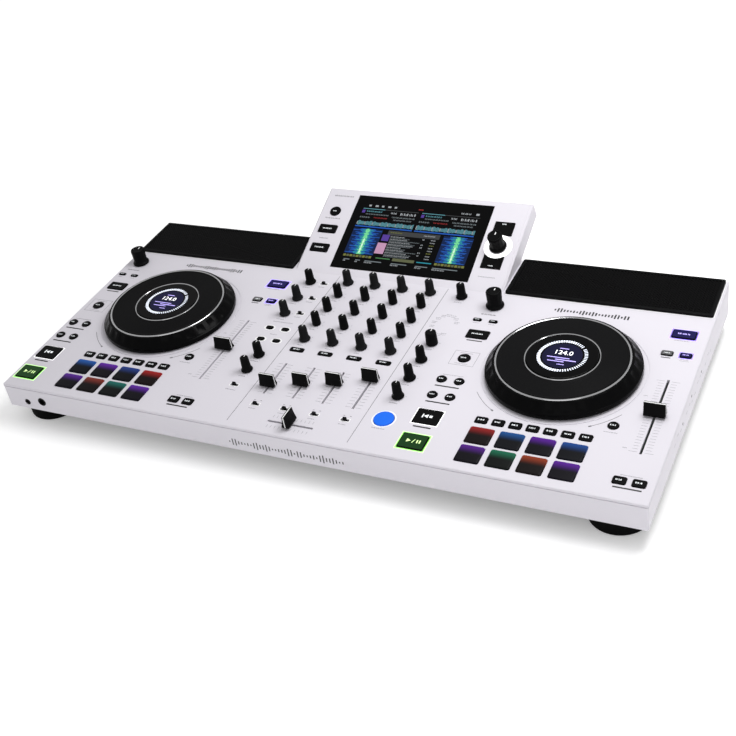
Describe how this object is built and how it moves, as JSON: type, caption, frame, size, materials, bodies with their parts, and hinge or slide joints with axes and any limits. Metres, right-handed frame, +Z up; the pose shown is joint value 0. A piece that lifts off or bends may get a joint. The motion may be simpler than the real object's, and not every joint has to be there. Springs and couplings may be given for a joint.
{
  "type": "dj controller",
  "caption": "DJ controller with jog wheels, a central mixer of knobs and faders, performance pads and a tilted touch display on a shallow case with round feet.",
  "frame": {"origin": "middle of the footprint, on the surface that the feet stand on", "axes": "+X to the player's right along the case, +Y to the rear, +Z up"},
  "size_m": [0.7, 0.3908, 0.1029],
  "materials": {
    "shell": "fine satin texture",
    "base_steel": "powder coat",
    "screw_steel": "blackened",
    "rubber": "moulded",
    "grille": "perforated, matt black",
    "speaker": "paper cone",
    "screen": "polished touch screen",
    "jog_screen": "polished lens",
    "screen_module": "moulded",
    "board": "solder mask",
    "component": "stamped",
    "switch": "moulded",
    "socket": "moulded",
    "jog_hub": "turned",
    "jog_rim": "gloss black",
    "jog_plate": "black anodised, fine grooves",
    "knob": "soft touch",
    "encoder": "soft touch",
    "fader_cap": "satin",
    "pad": "silicone, lit from below",
    "button": "satin"
  },
  "bodies": {
    "chassis": {"top_panel": "shell", "front_wall": "shell", "rear_wall": "shell", "side_walls": "shell", "base_plate": "base_steel", "case_screws": "screw_steel", "rubber_feet": "rubber", "speaker_grilles": "grille", "speaker_drivers": "speaker", "display_case": "shell", "display_glass": "screen", "display_module": "screen_module", "circuit_boards": "board", "control_units": "component", "slide_switches": "switch", "jog_hubs": "jog_hub", "jog_displays": "jog_screen", "sockets": "socket", "mains_socket": "socket", "level_knobs": "knob"},
    "left_jog": {"left_jog_rim": "jog_rim", "left_jog_plate": "jog_plate"},
    "left_encoder": {"left_encoder": "encoder"},
    "right_jog": {"right_jog_rim": "jog_rim", "right_jog_plate": "jog_plate"},
    "right_encoder": {"right_encoder": "encoder"},
    "display_encoder": {"display_encoder": "encoder"},
    "gain_knob_1": {"gain_knob_1": "knob"},
    "gain_knob_2": {"gain_knob_2": "knob"},
    "gain_knob_3": {"gain_knob_3": "knob"},
    "gain_knob_4": {"gain_knob_4": "knob"},
    "high_knob_1": {"high_knob_1": "knob"},
    "high_knob_2": {"high_knob_2": "knob"},
    "high_knob_3": {"high_knob_3": "knob"},
    "high_knob_4": {"high_knob_4": "knob"},
    "mid_knob_1": {"mid_knob_1": "knob"},
    "mid_knob_2": {"mid_knob_2": "knob"},
    "mid_knob_3": {"mid_knob_3": "knob"},
    "mid_knob_4": {"mid_knob_4": "knob"},
    "low_knob_1": {"low_knob_1": "knob"},
    "low_knob_2": {"low_knob_2": "knob"},
    "low_knob_3": {"low_knob_3": "knob"},
    "low_knob_4": {"low_knob_4": "knob"},
    "filter_knob_1": {"filter_knob_1": "knob"},
    "filter_knob_2": {"filter_knob_2": "knob"},
    "filter_knob_3": {"filter_knob_3": "knob"},
    "filter_knob_4": {"filter_knob_4": "knob"},
    "channel_fader_1": {"channel_fader_1": "fader_cap"},
    "channel_fader_2": {"channel_fader_2": "fader_cap"},
    "channel_fader_3": {"channel_fader_3": "fader_cap"},
    "channel_fader_4": {"channel_fader_4": "fader_cap"},
    "crossfader": {"crossfader": "fader_cap"},
    "left_pitch_fader": {"left_pitch_fader": "fader_cap"},
    "right_pitch_fader": {"right_pitch_fader": "fader_cap"},
    "left_pads": {"left_pads": "pad"},
    "right_pads": {"right_pads": "pad"},
    "left_deck_buttons": {"left_deck_buttons": "button"},
    "right_deck_buttons": {"right_deck_buttons": "button"},
    "mixer_buttons": {"mixer_buttons": "button"},
    "display_buttons": {"display_buttons": "button"}
  },
  "joints": [
    {"name": "left_jog_spin", "type": "hinge", "parent": "chassis", "child": "left_jog", "pos_m": [-0.2294, -0.03842, 0.05215], "axis": [0, -0.0315, 0.9995], "continuous": true},
    {"name": "left_encoder_turn", "type": "hinge", "parent": "chassis", "child": "left_encoder", "pos_m": [-0.3308, 0.05004, 0.05494], "axis": [0, -0.0315, 0.9995], "continuous": true},
    {"name": "right_jog_spin", "type": "hinge", "parent": "chassis", "child": "right_jog", "pos_m": [0.2294, -0.03842, 0.05215], "axis": [0, -0.0315, 0.9995], "continuous": true},
    {"name": "right_encoder_turn", "type": "hinge", "parent": "chassis", "child": "right_encoder", "pos_m": [0.128, 0.05004, 0.05494], "axis": [0, -0.0315, 0.9995], "continuous": true},
    {"name": "display_encoder_turn", "type": "hinge", "parent": "chassis", "child": "display_encoder", "pos_m": [0.105, 0.12856, 0.07923], "axis": [0, -0.3885, 0.9215], "continuous": true},
    {"name": "gain_knob_1_turn", "type": "hinge", "parent": "chassis", "child": "gain_knob_1", "pos_m": [-0.05025, 0.05893, 0.05522], "axis": [0, -0.0315, 0.9995], "range_deg": [-150, 150]},
    {"name": "gain_knob_2_turn", "type": "hinge", "parent": "chassis", "child": "gain_knob_2", "pos_m": [-0.01675, 0.05893, 0.05522], "axis": [0, -0.0315, 0.9995], "range_deg": [-150, 150]},
    {"name": "gain_knob_3_turn", "type": "hinge", "parent": "chassis", "child": "gain_knob_3", "pos_m": [0.01675, 0.05893, 0.05522], "axis": [0, -0.0315, 0.9995], "range_deg": [-150, 150]},
    {"name": "gain_knob_4_turn", "type": "hinge", "parent": "chassis", "child": "gain_knob_4", "pos_m": [0.05025, 0.05893, 0.05522], "axis": [0, -0.0315, 0.9995], "range_deg": [-150, 150]},
    {"name": "high_knob_1_turn", "type": "hinge", "parent": "chassis", "child": "high_knob_1", "pos_m": [-0.05025, 0.03365, 0.05442], "axis": [0, -0.0315, 0.9995], "range_deg": [-150, 150]},
    {"name": "high_knob_2_turn", "type": "hinge", "parent": "chassis", "child": "high_knob_2", "pos_m": [-0.01675, 0.03365, 0.05442], "axis": [0, -0.0315, 0.9995], "range_deg": [-150, 150]},
    {"name": "high_knob_3_turn", "type": "hinge", "parent": "chassis", "child": "high_knob_3", "pos_m": [0.01675, 0.03365, 0.05442], "axis": [0, -0.0315, 0.9995], "range_deg": [-150, 150]},
    {"name": "high_knob_4_turn", "type": "hinge", "parent": "chassis", "child": "high_knob_4", "pos_m": [0.05025, 0.03365, 0.05442], "axis": [0, -0.0315, 0.9995], "range_deg": [-150, 150]},
    {"name": "mid_knob_1_turn", "type": "hinge", "parent": "chassis", "child": "mid_knob_1", "pos_m": [-0.05025, 0.00666, 0.05357], "axis": [0, -0.0315, 0.9995], "range_deg": [-150, 150]},
    {"name": "mid_knob_2_turn", "type": "hinge", "parent": "chassis", "child": "mid_knob_2", "pos_m": [-0.01675, 0.00666, 0.05357], "axis": [0, -0.0315, 0.9995], "range_deg": [-150, 150]},
    {"name": "mid_knob_3_turn", "type": "hinge", "parent": "chassis", "child": "mid_knob_3", "pos_m": [0.01675, 0.00666, 0.05357], "axis": [0, -0.0315, 0.9995], "range_deg": [-150, 150]},
    {"name": "mid_knob_4_turn", "type": "hinge", "parent": "chassis", "child": "mid_knob_4", "pos_m": [0.05025, 0.00666, 0.05357], "axis": [0, -0.0315, 0.9995], "range_deg": [-150, 150]},
    {"name": "low_knob_1_turn", "type": "hinge", "parent": "chassis", "child": "low_knob_1", "pos_m": [-0.05025, -0.02033, 0.05272], "axis": [0, -0.0315, 0.9995], "range_deg": [-150, 150]},
    {"name": "low_knob_2_turn", "type": "hinge", "parent": "chassis", "child": "low_knob_2", "pos_m": [-0.01675, -0.02033, 0.05272], "axis": [0, -0.0315, 0.9995], "range_deg": [-150, 150]},
    {"name": "low_knob_3_turn", "type": "hinge", "parent": "chassis", "child": "low_knob_3", "pos_m": [0.01675, -0.02033, 0.05272], "axis": [0, -0.0315, 0.9995], "range_deg": [-150, 150]},
    {"name": "low_knob_4_turn", "type": "hinge", "parent": "chassis", "child": "low_knob_4", "pos_m": [0.05025, -0.02033, 0.05272], "axis": [0, -0.0315, 0.9995], "range_deg": [-150, 150]},
    {"name": "filter_knob_1_turn", "type": "hinge", "parent": "chassis", "child": "filter_knob_1", "pos_m": [-0.05025, -0.04861, 0.05183], "axis": [0, -0.0315, 0.9995], "range_deg": [-150, 150]},
    {"name": "filter_knob_2_turn", "type": "hinge", "parent": "chassis", "child": "filter_knob_2", "pos_m": [-0.01675, -0.04861, 0.05183], "axis": [0, -0.0315, 0.9995], "range_deg": [-150, 150]},
    {"name": "filter_knob_3_turn", "type": "hinge", "parent": "chassis", "child": "filter_knob_3", "pos_m": [0.01675, -0.04861, 0.05183], "axis": [0, -0.0315, 0.9995], "range_deg": [-150, 150]},
    {"name": "filter_knob_4_turn", "type": "hinge", "parent": "chassis", "child": "filter_knob_4", "pos_m": [0.05025, -0.04861, 0.05183], "axis": [0, -0.0315, 0.9995], "range_deg": [-150, 150]},
    {"name": "channel_fader_1_slide", "type": "slide", "parent": "chassis", "child": "channel_fader_1", "axis": [0, 0.9995, 0.0315], "range_m": [-0.00915, 0.03585]},
    {"name": "channel_fader_2_slide", "type": "slide", "parent": "chassis", "child": "channel_fader_2", "axis": [0, 0.9995, 0.0315], "range_m": [-0.01835, 0.02665]},
    {"name": "channel_fader_3_slide", "type": "slide", "parent": "chassis", "child": "channel_fader_3", "axis": [0, 0.9995, 0.0315], "range_m": [-0.02685, 0.01815]},
    {"name": "channel_fader_4_slide", "type": "slide", "parent": "chassis", "child": "channel_fader_4", "axis": [0, 0.9995, 0.0315], "range_m": [-0.04135, 0.00365]},
    {"name": "crossfader_slide", "type": "slide", "parent": "chassis", "child": "crossfader", "axis": [1, 0, 0], "range_m": [-0.0225, 0.0225]},
    {"name": "left_pitch_slide", "type": "slide", "parent": "chassis", "child": "left_pitch_fader", "axis": [0, 0.9995, 0.0315], "range_m": [-0.05, 0.05]},
    {"name": "right_pitch_slide", "type": "slide", "parent": "chassis", "child": "right_pitch_fader", "axis": [0, 0.9995, 0.0315], "range_m": [-0.05, 0.05]},
    {"name": "left_pads_press", "type": "slide", "parent": "chassis", "child": "left_pads", "axis": [0, -0.0315, 0.9995], "range_m": [-0.001, 0], "stiffness_N_per_m": 1500, "springref_m": 0.001},
    {"name": "right_pads_press", "type": "slide", "parent": "chassis", "child": "right_pads", "axis": [0, -0.0315, 0.9995], "range_m": [-0.001, 0], "stiffness_N_per_m": 1500, "springref_m": 0.001},
    {"name": "left_deck_buttons_press", "type": "slide", "parent": "chassis", "child": "left_deck_buttons", "axis": [0, -0.0315, 0.9995], "range_m": [-0.001, 0], "stiffness_N_per_m": 1500, "springref_m": 0.001},
    {"name": "right_deck_buttons_press", "type": "slide", "parent": "chassis", "child": "right_deck_buttons", "axis": [0, -0.0315, 0.9995], "range_m": [-0.001, 0], "stiffness_N_per_m": 1500, "springref_m": 0.001},
    {"name": "mixer_buttons_press", "type": "slide", "parent": "chassis", "child": "mixer_buttons", "axis": [0, -0.0315, 0.9995], "range_m": [-0.001, 0], "stiffness_N_per_m": 1500, "springref_m": 0.001},
    {"name": "display_buttons_press", "type": "slide", "parent": "chassis", "child": "display_buttons", "axis": [0, -0.3885, 0.9215], "range_m": [-0.001, 0], "stiffness_N_per_m": 1500, "springref_m": 0.001}
  ]
}
